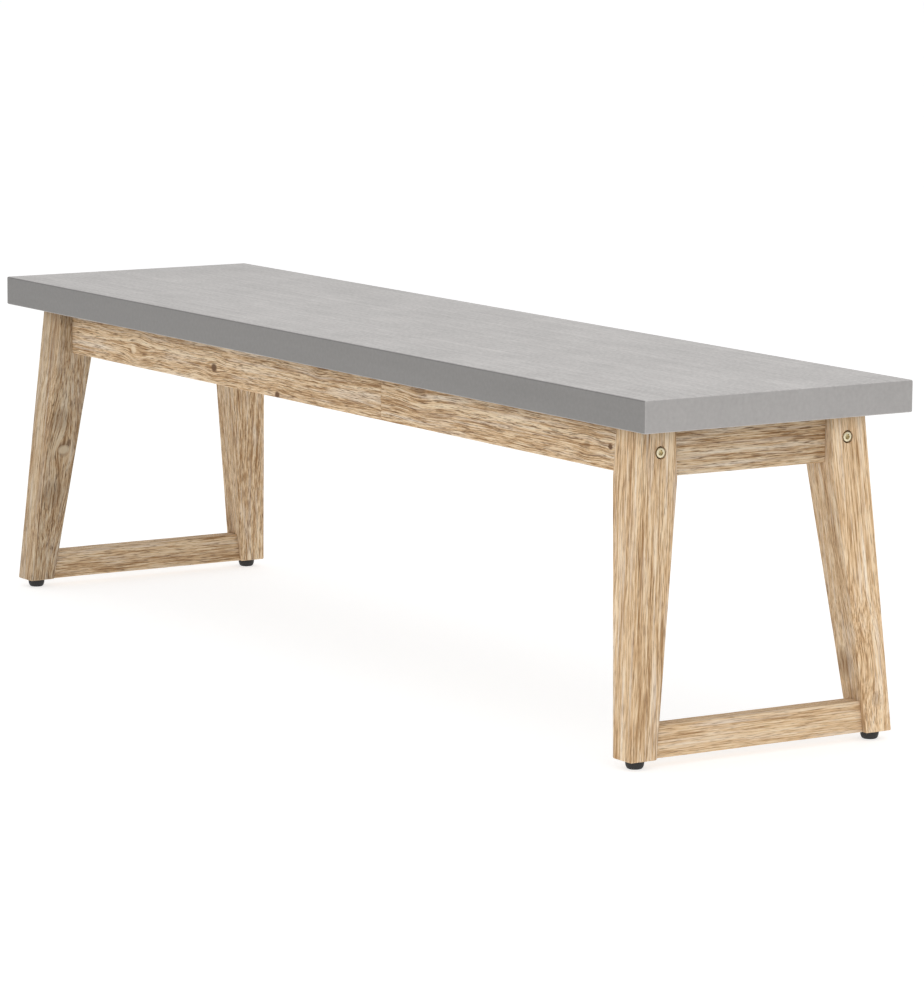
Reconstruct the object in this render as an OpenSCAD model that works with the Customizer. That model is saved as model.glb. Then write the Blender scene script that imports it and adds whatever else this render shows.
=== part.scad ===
// Garden bench: a hollow fibre-cement seat slab on an acacia frame with four splayed, tapered legs.
// X runs along the bench, Y from front to back, Z up. The origin is on the ground, under the middle.

/* [Seat slab] */
// Length of the slab, along X
slab_length = 1600; // [1200:10:2000]
// Depth of the slab, from front to back
slab_depth = 400; // [360:5:500]
// Height of the slab's rim
slab_height = 40; // [30:1:50]
// Thickness of the skin that carries the seat face
slab_skin = 12; // [10:1:18]
// Thickness of the rim at the slab's edge
slab_rim = 16; // [12:1:24]
// Width of the ribs that rest on the cross members
rib_width = 40; // [30:1:60]

/* [Seat] */
// Height of the seat face above the ground
seat_height = 450; // [400:5:480]
// Distance from the slab's end to the leg's outer face at the top of the leg
end_overhang = 53; // [40:1:80]
// Distance from the slab's edge to the leg's outer face at the top of the leg
side_overhang = 32; // [25:1:60]

/* [Legs] */
// Thickness of a leg at its top, both ways
leg_top = 52; // [46:1:60]
// Thickness of a leg at its foot, both ways
leg_toe = 39; // [32:1:44]
// How far a leg's outer faces lean out from its top to its foot
leg_splay = 29; // [10:1:40]

/* [Rails] */
// Height of the aprons and of the end rails
rail_height = 64; // [56:1:80]
// Thickness of the aprons and of the end rails
rail_thickness = 20; // [18:1:26]
// Distance from the legs' upright inner face to the apron's outer face
apron_inset = 34; // [28:1:40]
// Distance from the legs' upright inner face to the end rail's outer face
end_rail_inset = 41; // [30:1:44]
// Height of the stretchers at the foot of each end frame
stretcher_height = 40; // [30:1:60]
// Thickness of the stretchers
stretcher_thickness = 26; // [20:1:30]
// Distance of the cross rails from the middle of the bench
cross_rail_place = 240; // [180:10:300]
// Thickness of the cross rails
cross_rail_thickness = 25; // [20:1:35]
// Height of the cross rails
cross_rail_height = 40; // [36:1:50]

/* [Feet] */
// Height of the rubber feet
foot_height = 11; // [8:0.5:16]
// Largest diameter of the rubber feet
foot_diameter = 24; // [20:1:30]

/* [Hidden] */

$fn = 64;
wood = "#cdb08a";
cement = "#bcb9b5";
steel = "#c8c6c0";
zinc_yellow = "#d8cfa8";
rubber = "#1d1d1e";
far = 1000;      // longer than any cut has to be
fit_gap = 0.05;  // radial gap around dowels, inserts and pilot-held screws

// heights of the frame
leg_z0 = foot_height;
frame_z = seat_height - slab_height;
rail_z0 = frame_z - rail_height;
bolt_z = frame_z - rail_height / 2;

// the legs' upright inner faces, and the outer face's lean at a height
leg_x = slab_length / 2 - end_overhang - leg_top;
leg_y = slab_depth / 2 - side_overhang - leg_top;
function lean(z) = leg_splay * (frame_z - z) / (frame_z - leg_z0);
function inner_lean(z) = z > rail_z0 ? 0
    : (leg_top + leg_splay - leg_toe) * (rail_z0 - z) / (rail_z0 - leg_z0);
toe_centre = leg_top + leg_splay - leg_toe / 2;

// places of the rails
apron_y = leg_y + apron_inset - rail_thickness / 2;
end_rail_x = leg_x + end_rail_inset - rail_thickness / 2;
stretcher_x = leg_x + toe_centre - 2;
stretcher_top = leg_z0 + stretcher_height;
slab_screw_x = [cross_rail_place, end_rail_x];

// leg bolt: M8 x 90 cap screw with a small washer and a barrel nut
bolt_d = 8;
bolt_length = 90;
bolt_head_d = 13;
bolt_head_h = 8;
bolt_hex = 6;
bolt_hole_d = 9;
counterbore_d = 15.4;
counterbore_depth = 10;
washer_d = 15;
washer_h = 1.6;
nut_d = 12;
nut_length = 15;
nut_place = 37;
seat_x = leg_x + leg_top + lean(bolt_z) - counterbore_depth;

// dowels
dowel_d = 8;
apron_dowel = [20, 15];      // depth in the apron, depth in the leg
end_rail_dowel = [20, 20];   // depth in the rail, depth in the leg
cross_rail_dowel = [18, 12]; // depth in the cross rail, depth in the apron
stretcher_dowel = [16, 14];  // depth in the stretcher, depth in the leg
apron_dowel_z = [bolt_z - 20, bolt_z + 20];
end_rail_dowel_z = [bolt_z - 18, bolt_z + 18];
cross_rail_dowel_z = [frame_z - 30, frame_z - 10];
stretcher_dowel_z = [leg_z0 + 11, leg_z0 + 29];

// slab screw: M6 x 45 cap screw with a washer, into an insert cast in the slab's rib
slab_screw_d = 6;
slab_screw_length = 45;
slab_screw_head_d = 10;
slab_screw_head_h = 6;
slab_screw_hex = 5;
slab_screw_hole_d = 7;
slab_screw_wood = 30;
slab_screw_y = 80;
slab_screw_bore_d = 13;
slab_washer_d = 12;
insert_d = 10;
insert_length = 16;

// rubber foot, its washer and its wood screw
foot_rim = 2.5;
foot_floor_d = 15;
foot_recess_d = 9.4;
foot_seat = 5;
foot_washer_d = 9;
foot_washer_h = 0.8;
foot_hole_d = 4.4;
foot_screw_d = 4;
foot_screw_length = 30;
foot_screw_head_d = 8;
foot_screw_head_h = 3;
foot_screw_cross = 1.2;

// Puts a shape made for the rear right corner at the corner on side sx, sy
module corner(sx, sy) {
    mirror([sx < 0 ? 1 : 0, 0, 0]) mirror([0, sy < 0 ? 1 : 0, 0]) children();
}

// Puts a shape made for one corner at all four
module each_corner() {
    for (sx = [-1, 1], sy = [-1, 1]) corner(sx, sy) children();
}

// A rod of diameter d along X, from x0 to x1
module rod_x(d, x0, x1) {
    translate([x0, 0, 0]) rotate([0, 90, 0]) cylinder(d = d, h = x1 - x0);
}

// A rod of diameter d along Y, from y0 to y1
module rod_y(d, y0, y1) {
    translate([0, y0, 0]) rotate([-90, 0, 0]) cylinder(d = d, h = y1 - y0);
}

// A block centred on x and y, from z0 to z1
module block(size_x, size_y, z0, z1) {
    translate([-size_x / 2, -size_y / 2, z0]) cube([size_x, size_y, z1 - z0]);
}

// Outline of a leg in one upright plane: distance out from its inner face, and height
module leg_outline() {
    polygon([
        [0, frame_z], [leg_top, frame_z], [leg_top + leg_splay, leg_z0],
        [leg_top + leg_splay - leg_toe, leg_z0], [0, rail_z0]
    ]);
}

module leg_blank() {
    intersection() {
        translate([leg_x, far, 0]) rotate([90, 0, 0]) linear_extrude(far) leg_outline();
        translate([0, leg_y, 0]) rotate([90, 0, 90]) linear_extrude(far) leg_outline();
    }
}

module leg() {
    color(wood) difference() {
        leg_blank();
        translate([0, apron_y, bolt_z]) {
            rod_x(bolt_hole_d, leg_x - 1, seat_x + 1);
            rod_x(counterbore_d, seat_x, far);
        }
        for (z = apron_dowel_z)
            translate([0, apron_y, z])
                rod_x(dowel_d + 2 * fit_gap, leg_x - 1, leg_x + apron_dowel[1] + fit_gap);
        for (z = end_rail_dowel_z)
            translate([end_rail_x, 0, z])
                rod_y(dowel_d + 2 * fit_gap, leg_y - 1, leg_y + end_rail_dowel[1] + fit_gap);
        for (z = stretcher_dowel_z)
            translate([stretcher_x, 0, z])
                rod_y(dowel_d + 2 * fit_gap, leg_y, leg_y + inner_lean(z) + stretcher_dowel[1] + fit_gap);
        translate([leg_x + toe_centre, leg_y + toe_centre, leg_z0 - 1])
            cylinder(d = foot_screw_d + 2 * fit_gap, h = foot_seat + foot_screw_length - leg_z0 + 2);
    }
}

module apron() {
    color(wood) difference() {
        translate([0, apron_y, 0]) block(2 * leg_x, rail_thickness, rail_z0, frame_z);
        for (sx = [-1, 1]) mirror([sx < 0 ? 1 : 0, 0, 0]) {
            translate([0, apron_y, bolt_z])
                rod_x(bolt_hole_d, leg_x - nut_place - nut_d, leg_x + 1);
            translate([leg_x - nut_place, 0, bolt_z])
                rod_y(nut_d + 2 * fit_gap, apron_y - rail_thickness, apron_y + nut_length / 2 + fit_gap);
            for (z = apron_dowel_z)
                translate([0, apron_y, z])
                    rod_x(dowel_d + 2 * fit_gap, leg_x - apron_dowel[0] - fit_gap, leg_x + 1);
            for (z = cross_rail_dowel_z)
                translate([cross_rail_place, apron_y - rail_thickness / 2, z])
                    rod_y(dowel_d + 2 * fit_gap, -1, cross_rail_dowel[1] + fit_gap);
        }
    }
}

// The stepped hole of a slab screw, up through a cross member
module slab_screw_bore(z0) {
    translate([0, 0, z0 - 1])
        cylinder(d = slab_screw_bore_d, h = frame_z - slab_screw_wood - z0 + 1);
    translate([0, 0, z0]) cylinder(d = slab_screw_hole_d, h = far);
}

module end_rail() {
    color(wood) difference() {
        translate([end_rail_x, 0, 0]) block(rail_thickness, 2 * leg_y, rail_z0, frame_z);
        for (sy = [-1, 1]) mirror([0, sy < 0 ? 1 : 0, 0]) {
            for (z = end_rail_dowel_z)
                translate([end_rail_x, 0, z])
                    rod_y(dowel_d + 2 * fit_gap, leg_y - end_rail_dowel[0] - fit_gap, leg_y + 1);
            translate([end_rail_x, slab_screw_y, 0]) slab_screw_bore(rail_z0);
        }
    }
}

module cross_rail() {
    half = apron_y - rail_thickness / 2;
    color(wood) difference() {
        translate([cross_rail_place, 0, 0])
            block(cross_rail_thickness, 2 * half, frame_z - cross_rail_height, frame_z);
        for (sy = [-1, 1]) mirror([0, sy < 0 ? 1 : 0, 0]) {
            for (z = cross_rail_dowel_z)
                translate([cross_rail_place, half, z])
                    rod_y(dowel_d + 2 * fit_gap, -cross_rail_dowel[0] - fit_gap, 1);
            translate([cross_rail_place, slab_screw_y, 0])
                slab_screw_bore(frame_z - cross_rail_height);
        }
    }
}

// The stretcher's ends follow the lean of the legs' inner faces
module stretcher() {
    low = leg_y + inner_lean(leg_z0);
    high = leg_y + inner_lean(stretcher_top);
    color(wood) difference() {
        translate([stretcher_x - stretcher_thickness / 2, 0, 0])
            rotate([90, 0, 90]) linear_extrude(stretcher_thickness)
                polygon([[-low, leg_z0], [low, leg_z0], [high, stretcher_top], [-high, stretcher_top]]);
        for (sy = [-1, 1], z = stretcher_dowel_z)
            mirror([0, sy < 0 ? 1 : 0, 0])
                translate([stretcher_x, leg_y + inner_lean(z), z])
                    rod_y(dowel_d + 2 * fit_gap, -stretcher_dowel[0] - fit_gap, dowel_d);
    }
}

module slab() {
    inner_x = slab_length - 2 * slab_rim;
    inner_y = slab_depth - 2 * slab_rim;
    color(cement) difference() {
        block(slab_length, slab_depth, frame_z, seat_height);
        difference() {
            block(inner_x, inner_y, frame_z - 1, seat_height - slab_skin);
            for (sx = [-1, 1], x = slab_screw_x)
                translate([sx * x, 0, 0]) block(rib_width, slab_depth, frame_z - 2, seat_height);
        }
        for (sx = [-1, 1], sy = [-1, 1], x = slab_screw_x)
            translate([sx * x, sy * slab_screw_y, frame_z - 1])
                cylinder(d = insert_d + 2 * fit_gap, h = insert_length + 1 + fit_gap);
    }
}

// A socket-head cap screw along +Z, with its head below z = 0 and its shank above
module cap_screw(d, length, head_d, head_h, hex) {
    difference() {
        union() {
            translate([0, 0, -head_h]) cylinder(d = head_d, h = head_h);
            cylinder(d = d, h = length);
        }
        translate([0, 0, -head_h - 1]) cylinder(d = hex / cos(30), h = head_h / 2 + 1, $fn = 6);
    }
}

module washer(outer, inner, height) {
    difference() {
        cylinder(d = outer, h = height);
        translate([0, 0, -1]) cylinder(d = inner, h = height + 2);
    }
}

module leg_bolts() {
    color(zinc_yellow) each_corner()
        translate([seat_x + washer_h, apron_y, bolt_z]) rotate([0, -90, 0])
            cap_screw(bolt_d, bolt_length, bolt_head_d, bolt_head_h, bolt_hex);
}

module leg_bolt_washers() {
    color(zinc_yellow) each_corner()
        translate([seat_x, apron_y, bolt_z]) rotate([0, 90, 0])
            washer(washer_d, bolt_d + 0.4, washer_h);
}

module barrel_nuts() {
    color(steel) each_corner()
        difference() {
            translate([leg_x - nut_place, 0, bolt_z])
                rod_y(nut_d, apron_y - nut_length / 2, apron_y + nut_length / 2);
            translate([0, apron_y, bolt_z])
                rod_x(bolt_d + 2 * fit_gap, leg_x - nut_place - nut_d, leg_x);
        }
}

module apron_dowels() {
    color(wood) each_corner() for (z = apron_dowel_z)
        translate([leg_x, apron_y, z]) rod_x(dowel_d, -apron_dowel[0], apron_dowel[1]);
}

module end_rail_dowels() {
    color(wood) each_corner() for (z = end_rail_dowel_z)
        translate([end_rail_x, leg_y, z]) rod_y(dowel_d, -end_rail_dowel[0], end_rail_dowel[1]);
}

module cross_rail_dowels() {
    color(wood) each_corner() for (z = cross_rail_dowel_z)
        translate([cross_rail_place, apron_y - rail_thickness / 2, z])
            rod_y(dowel_d, -cross_rail_dowel[0], cross_rail_dowel[1]);
}

module stretcher_dowels() {
    color(wood) each_corner() for (z = stretcher_dowel_z)
        translate([stretcher_x, leg_y + inner_lean(z), z])
            rod_y(dowel_d, -stretcher_dowel[0], stretcher_dowel[1]);
}

// Puts a slab screw's pieces at each of its places, with z = 0 at the washer's seat
module each_slab_screw() {
    for (sx = [-1, 1], sy = [-1, 1], x = slab_screw_x)
        translate([sx * x, sy * slab_screw_y, frame_z - slab_screw_wood]) children();
}

module slab_screws() {
    color(steel) each_slab_screw() translate([0, 0, -washer_h])
        cap_screw(slab_screw_d, slab_screw_length, slab_screw_head_d, slab_screw_head_h, slab_screw_hex);
}

module slab_screw_washers() {
    color(steel) each_slab_screw() translate([0, 0, -washer_h])
        washer(slab_washer_d, slab_screw_d + 0.4, washer_h);
}

module slab_inserts() {
    color(zinc_yellow) each_slab_screw() translate([0, 0, slab_screw_wood])
        washer(insert_d, slab_screw_d + 2 * fit_gap, insert_length);
}

// Half outline of a foot: an upright rim at the leg, then a round side down to the floor
module foot_outline() {
    top_r = foot_diameter / 2;
    floor_r = foot_floor_d / 2;
    drop = foot_height - foot_rim;
    polygon(concat(
        [[foot_hole_d / 2, foot_height], [top_r, foot_height]],
        [for (a = [0:15:90]) [floor_r + (top_r - floor_r) * cos(a), drop * (1 - sin(a))]],
        [[foot_recess_d / 2, 0], [foot_recess_d / 2, foot_seat + foot_washer_h],
         [foot_hole_d / 2, foot_seat + foot_washer_h]]
    ));
}

// Puts a foot's piece under the rear right leg
module under_leg() {
    translate([leg_x + toe_centre, leg_y + toe_centre, 0]) children();
}

module foot() {
    color(rubber) under_leg() rotate_extrude() foot_outline();
}

module foot_washers() {
    color(steel) each_corner() under_leg() translate([0, 0, foot_seat])
        washer(foot_washer_d, foot_hole_d, foot_washer_h);
}

module foot_screws() {
    color(steel) each_corner() under_leg() difference() {
        union() {
            translate([0, 0, foot_seat - foot_screw_head_h])
                cylinder(d = foot_screw_head_d, h = foot_screw_head_h);
            translate([0, 0, foot_seat]) cylinder(d = foot_screw_d, h = foot_screw_length);
        }
        for (turn = [0, 90]) rotate([0, 0, turn])
            block(foot_screw_head_d / 2, foot_screw_cross, 0, foot_seat - foot_screw_head_h / 2);
    }
}

module front_apron() { mirror([0, 1, 0]) apron(); }
module rear_apron() { apron(); }
module left_end_rail() { mirror([1, 0, 0]) end_rail(); }
module right_end_rail() { end_rail(); }
module left_cross_rail() { mirror([1, 0, 0]) cross_rail(); }
module right_cross_rail() { cross_rail(); }
module left_stretcher() { mirror([1, 0, 0]) stretcher(); }
module right_stretcher() { stretcher(); }
module front_left_leg() { corner(-1, -1) leg(); }
module front_right_leg() { corner(1, -1) leg(); }
module rear_left_leg() { corner(-1, 1) leg(); }
module rear_right_leg() { corner(1, 1) leg(); }
module front_left_foot() { corner(-1, -1) foot(); }
module front_right_foot() { corner(1, -1) foot(); }
module rear_left_foot() { corner(-1, 1) foot(); }
module rear_right_foot() { corner(1, 1) foot(); }

slab();
front_apron();
rear_apron();
left_end_rail();
right_end_rail();
left_cross_rail();
right_cross_rail();
front_left_leg();
front_right_leg();
rear_left_leg();
rear_right_leg();
left_stretcher();
right_stretcher();
leg_bolts();
leg_bolt_washers();
barrel_nuts();
apron_dowels();
end_rail_dowels();
cross_rail_dowels();
stretcher_dowels();
slab_screws();
slab_screw_washers();
slab_inserts();
front_left_foot();
front_right_foot();
rear_left_foot();
rear_right_foot();
foot_washers();
foot_screws();
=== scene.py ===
"""Garden bench: a hollow fibre-cement slab on a bolted frame of brushed and limewashed acacia."""

import math

import bmesh
import bpy
import numpy as np
from mathutils import Matrix, Quaternion, Vector


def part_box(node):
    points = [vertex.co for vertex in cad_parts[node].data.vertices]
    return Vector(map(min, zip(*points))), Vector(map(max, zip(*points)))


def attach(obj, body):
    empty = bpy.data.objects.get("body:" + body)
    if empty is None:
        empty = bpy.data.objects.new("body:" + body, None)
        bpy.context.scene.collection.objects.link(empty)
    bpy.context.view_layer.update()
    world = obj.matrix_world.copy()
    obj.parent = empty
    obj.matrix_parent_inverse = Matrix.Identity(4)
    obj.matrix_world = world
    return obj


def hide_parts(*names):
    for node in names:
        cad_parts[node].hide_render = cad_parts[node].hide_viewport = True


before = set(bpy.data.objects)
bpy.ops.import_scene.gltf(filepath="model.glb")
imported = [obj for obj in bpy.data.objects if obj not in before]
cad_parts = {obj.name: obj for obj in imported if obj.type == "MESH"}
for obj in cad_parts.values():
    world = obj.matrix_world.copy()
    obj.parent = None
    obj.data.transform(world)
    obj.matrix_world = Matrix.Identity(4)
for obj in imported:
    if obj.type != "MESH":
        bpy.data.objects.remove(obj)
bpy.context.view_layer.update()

bl_info = {
    "name": "Garden bench",
    "version": (1, 0, 0),
    "blender": (4, 5, 0),
    "location": "View3D > Sidebar > Bench",
    "description": "Builds a fibre-cement and acacia garden bench around its packed frame",
    "category": "Object",
}

MM = 0.001
ALONG_X, ALONG_Y, ALONG_Z = (0, 1, 2), (1, 0, 2), (2, 0, 1)


def linear(code, alpha=None):
    """An sRGB hex colour as linear numbers, with alpha after them if it is given."""
    parts = [int(code[i:i + 2], 16) / 255 for i in (1, 3, 5)]
    found = [p / 12.92 if p <= 0.04045 else ((p + 0.055) / 1.055) ** 2.4 for p in parts]
    return (*found, alpha) if alpha is not None else tuple(found)


# ---------------------------------------------------------------- settings


class BenchSizes(bpy.types.PropertyGroup):
    """Sizes of what the eye sees on the bench, beyond the frame's own."""

    slab_round: bpy.props.FloatProperty(
        name="Slab rounding", description="Radius of the slab's edges",
        default=2.2 * MM, min=0.5 * MM, max=4 * MM, subtype="DISTANCE", unit="LENGTH")
    slab_skin: bpy.props.FloatProperty(
        name="Slab skin", description="Thickness of the skin under the seat face",
        default=12 * MM, min=8 * MM, max=20 * MM, subtype="DISTANCE", unit="LENGTH")
    slab_rim: bpy.props.FloatProperty(
        name="Slab rim", description="Thickness of the slab's rim",
        default=16 * MM, min=10 * MM, max=24 * MM, subtype="DISTANCE", unit="LENGTH")
    rib_width: bpy.props.FloatProperty(
        name="Rib width", description="Width of the ribs under the slab",
        default=40 * MM, min=30 * MM, max=60 * MM, subtype="DISTANCE", unit="LENGTH")
    arris: bpy.props.FloatProperty(
        name="Arris", description="Radius of the timber's long edges",
        default=2.4 * MM, min=0.5 * MM, max=4 * MM, subtype="DISTANCE", unit="LENGTH")
    toe_arris: bpy.props.FloatProperty(
        name="Toe arris", description="Radius round the bottom of a leg",
        default=2.0 * MM, min=0.5 * MM, max=4 * MM, subtype="DISTANCE", unit="LENGTH")
    joint_arris: bpy.props.FloatProperty(
        name="Joint arris", description="Radius round the ends of rails",
        default=0.6 * MM, min=0.2 * MM, max=2 * MM, subtype="DISTANCE", unit="LENGTH")
    relief: bpy.props.FloatProperty(
        name="Relief", description="Depth that brushing cuts between the fibres",
        default=0.25 * MM, min=0, max=0.6 * MM, subtype="DISTANCE", unit="LENGTH")
    counterbore: bpy.props.FloatProperty(
        name="Counterbore", description="Diameter of the recess round a leg bolt",
        default=16.2 * MM, min=14 * MM, max=20 * MM, subtype="DISTANCE", unit="LENGTH")
    bolt_head: bpy.props.FloatProperty(
        name="Bolt head", description="Diameter of a leg bolt's head",
        default=12.4 * MM, min=12 * MM, max=14 * MM, subtype="DISTANCE", unit="LENGTH")


class BenchColours(bpy.types.PropertyGroup):
    """Colours of the bench's finishes, and of its painted shade, in linear light."""

    cement: bpy.props.FloatVectorProperty(
        name="Ground cement", description="Seat face of the slab",
        subtype="COLOR", size=3, min=0, max=1, default=linear("#bebbb9"))
    # painted shade: the colours of the slab's ends and long sides, darker than the seat face by the way they
    # face
    cement_end_shade: bpy.props.FloatVectorProperty(
        name="Cement ends", description="Ends of the slab, ground less than its seat face",
        subtype="COLOR", size=3, min=0, max=1, default=linear("#a5a2a0"))
    cement_side_shade: bpy.props.FloatVectorProperty(
        name="Cast cement", description="Long sides of the slab, as they leave the mould",
        subtype="COLOR", size=3, min=0, max=1, default=linear("#848280"))
    wood_dark: bpy.props.FloatVectorProperty(
        name="Late wood", description="Darkest fibres of the acacia",
        subtype="COLOR", size=3, min=0, max=1, default=linear("#a07a50"))
    wood_mid: bpy.props.FloatVectorProperty(
        name="Acacia", description="Middle tone of the acacia",
        subtype="COLOR", size=3, min=0, max=1, default=linear("#dcbb92"))
    wood_pale: bpy.props.FloatVectorProperty(
        name="Early wood", description="Palest fibres of the acacia",
        subtype="COLOR", size=3, min=0, max=1, default=linear("#efd9b8"))
    limewash: bpy.props.FloatVectorProperty(
        name="Limewash", description="White pigment left in the brushed grain",
        subtype="COLOR", size=3, min=0, max=1, default=linear("#f3e8d8"))
    pore: bpy.props.FloatVectorProperty(
        name="Pores", description="Open pores and checks",
        subtype="COLOR", size=3, min=0, max=1, default=linear("#7a5a3a"))
    # also the colour of the broad marks of painted shade on the legs
    knot_and_shade_mark: bpy.props.FloatVectorProperty(
        name="Knots", description="Heart of the knots",
        subtype="COLOR", size=3, min=0, max=1, default=linear("#6e4f33"))


def sizes():
    return bpy.context.scene.bench_sizes


def colours():
    return bpy.context.scene.bench_colours


# ---------------------------------------------------------------- helpers


def feed(tree, node, links):
    """Gives a node's inputs, by name or number, a value, an output, or another node's first output."""
    for key, value in links.items():
        if isinstance(value, bpy.types.Node):
            value = next(o for o in value.outputs if o.enabled)
        if isinstance(value, bpy.types.NodeSocket):
            tree.links.new(value, node.inputs[key])
        else:
            node.inputs[key].default_value = value


def add(tree, kind, links=None, **settings):
    """Adds a node with its settings and feeds its inputs."""
    node = tree.nodes.new(kind)
    for key, value in settings.items():
        setattr(node, key, value)
    feed(tree, node, links or {})
    return node


def new_material(name):
    """A material with an empty tree and a Principled shader on its output."""
    material = bpy.data.materials.new(name)
    material.use_nodes = True
    tree = material.node_tree
    tree.nodes.clear()
    shader = add(tree, "ShaderNodeBsdfPrincipled")
    add(tree, "ShaderNodeOutputMaterial", {"Surface": shader})
    return material, tree, shader


def new_object(name, data):
    made = bpy.data.objects.new(name, data)
    bpy.context.scene.collection.objects.link(made)
    return made


def mesh_of(name, points, faces):
    """A closed mesh whose faces point outwards."""
    mesh = bpy.data.meshes.new(name)
    mesh.from_pydata([tuple(p) for p in points], [], faces)
    shell = bmesh.new()
    shell.from_mesh(mesh)
    bmesh.ops.recalc_face_normals(shell, faces=shell.faces)
    shell.to_mesh(mesh)
    shell.free()
    return mesh


def set_inputs(modifier, values):
    """Sets a Geometry Nodes modifier's inputs, found by their names, through their identifiers."""
    for item in modifier.node_group.interface.items_tree:
        if item.in_out == "INPUT" and item.name in values:
            modifier[item.identifier] = values[item.name]


def finished(source, name):
    """A plain object with the source's modifiers applied. The source is removed."""
    bpy.context.view_layer.update()
    graph = bpy.context.evaluated_depsgraph_get()
    mesh = bpy.data.meshes.new_from_object(source.evaluated_get(graph))
    bpy.data.objects.remove(source)
    mesh.name = name
    return new_object(name, mesh)


def discard(*objects):
    for o in objects:
        bpy.data.objects.remove(o)


def hand_over(piece, slot, *nodes):
    """Fixes a finished piece to the frame, in place of the CAD nodes that it stands for."""
    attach(piece, "root")
    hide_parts(*nodes)


def smooth(piece, angle=30):
    """Smooth shading with creases where faces meet at more than an angle in degrees."""
    mesh = piece.data
    mesh.shade_smooth()
    mesh.set_sharp_from_angle(angle=math.radians(angle))


def corners_of(node):
    """The vertices of a CAD node as an array."""
    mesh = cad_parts[node].data
    found = np.empty(len(mesh.vertices) * 3)
    mesh.vertices.foreach_get("co", found)
    return found.reshape(-1, 3)


def solids_of(node):
    """The boxes, as pairs of corners, of the separate solids in a CAD node."""
    shell = bmesh.new()
    shell.from_mesh(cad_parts[node].data)
    bmesh.ops.remove_doubles(shell, verts=shell.verts, dist=1e-6)
    left, boxes = set(shell.verts), []
    while left:
        group, edge = [], [left.pop()]
        while edge:
            point = edge.pop()
            group.append(point.co.copy())
            for link in point.link_edges:
                other = link.other_vert(point)
                if other in left:
                    left.discard(other)
                    edge.append(other)
        co = np.array(group)
        boxes.append((Vector(co.min(0)), Vector(co.max(0))))
    shell.free()
    return sorted(boxes, key=lambda b: tuple(round(c, 4) for c in b[0]))


# ---------------------------------------------------------------- turned shapes


def revolve(name, profile, segments=48, closed=False, hexes=(), thread=None):
    """Turns a profile of (radius, height) points round Z.

    A point on the axis becomes a pole. closed joins the last point to the first, for a ring.
    The points numbered in hexes lie on a hexagon of that inner radius. thread is (low, high,
    pitch, depth) of a helical groove.
    """
    turns = [2 * math.pi * k / segments for k in range(segments)]
    points, rings = [], []
    for i, (radius, height) in enumerate(profile):
        if radius < 1e-9:
            rings.append([len(points)])
            points.append((0, 0, height))
            continue
        ring = []
        for turn in turns:
            r = radius
            if i in hexes:
                r = radius / math.cos(math.remainder(turn, math.pi / 3))
            if thread and thread[0] <= height <= thread[1]:
                phase = (height / thread[2] - turn / (2 * math.pi)) % 1
                r -= thread[3] * abs(2 * phase - 1)
            ring.append(len(points))
            points.append((r * math.cos(turn), r * math.sin(turn), height))
        rings.append(ring)
    faces = []
    pairs = list(zip(rings, rings[1:])) + ([(rings[-1], rings[0])] if closed else [])
    for low, high in pairs:
        for k in range(segments):
            n = (k + 1) % segments
            if len(low) == 1 and len(high) > 1:
                faces.append((low[0], high[n], high[k]))
            elif len(high) == 1 and len(low) > 1:
                faces.append((low[k], low[n], high[0]))
            elif len(low) > 1:
                faces.append((low[k], low[n], high[n], high[k]))
    return mesh_of(name, points, faces)


def repeat_tree():
    """Geometry Nodes that put one piece at each point, facing as the point says."""
    tree = bpy.data.node_groups.new("Repeat at places", "GeometryNodeTree")
    face = tree.interface
    face.new_socket("Geometry", in_out="INPUT", socket_type="NodeSocketGeometry")
    face.new_socket("Piece", in_out="INPUT", socket_type="NodeSocketObject")
    face.new_socket("Most Turn", in_out="INPUT", socket_type="NodeSocketFloat")
    face.new_socket("Seed", in_out="INPUT", socket_type="NodeSocketInt")
    face.new_socket("Material", in_out="INPUT", socket_type="NodeSocketMaterial")
    face.new_socket("Geometry", in_out="OUTPUT", socket_type="NodeSocketGeometry")
    given = add(tree, "NodeGroupInput").outputs
    piece = add(tree, "GeometryNodeObjectInfo", {"Object": given["Piece"]})
    facing = add(tree, "GeometryNodeInputNamedAttribute", {"Name": "facing"}, data_type="FLOAT_VECTOR")
    aligned = add(tree, "FunctionNodeAlignRotationToVector", {"Vector": facing}, axis="Z")
    turn = add(tree, "FunctionNodeRandomValue", {3: given["Most Turn"], "Seed": given["Seed"]},
               data_type="FLOAT")
    spin = add(tree, "ShaderNodeCombineXYZ", {"Z": turn})
    turned = add(tree, "FunctionNodeRotateRotation", {"Rotation": aligned, "Rotate By": spin},
                 rotation_space="LOCAL")
    placed = add(tree, "GeometryNodeInstanceOnPoints", {
        "Points": given["Geometry"], "Instance": piece.outputs["Geometry"], "Rotation": turned})
    real = add(tree, "GeometryNodeRealizeInstances", {"Geometry": placed})
    painted = add(tree, "GeometryNodeSetMaterial", {"Geometry": real, "Material": given["Material"]})
    add(tree, "NodeGroupOutput", {"Geometry": painted})
    return tree


def repeated(name, mesh, places, material, seed=0, most_turn=math.tau):
    """One object with a copy of the mesh at each of the places, (point, direction of its +Z)."""
    piece = new_object(name + "_pattern", mesh)
    points = bpy.data.meshes.new(name + "_places")
    points.from_pydata([p for p, _ in places], [], [])
    facing = points.attributes.new("facing", "FLOAT_VECTOR", "POINT")
    facing.data.foreach_set("vector", np.array([tuple(d) for _, d in places]).ravel())
    source = new_object(name + "_source", points)
    modifier = source.modifiers.new("Repeat", "NODES")
    modifier.node_group = bpy.data.node_groups.get("Repeat at places") or repeat_tree()
    set_inputs(modifier, {"Piece": piece, "Most Turn": most_turn, "Seed": seed, "Material": material})
    made = finished(source, name)
    discard(piece)
    return made


# ---------------------------------------------------------------- timber shapes

SECTION_PITCH = 2.4 * MM
STATION_PITCH = 9 * MM
ROUND_STEPS = 4


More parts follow.
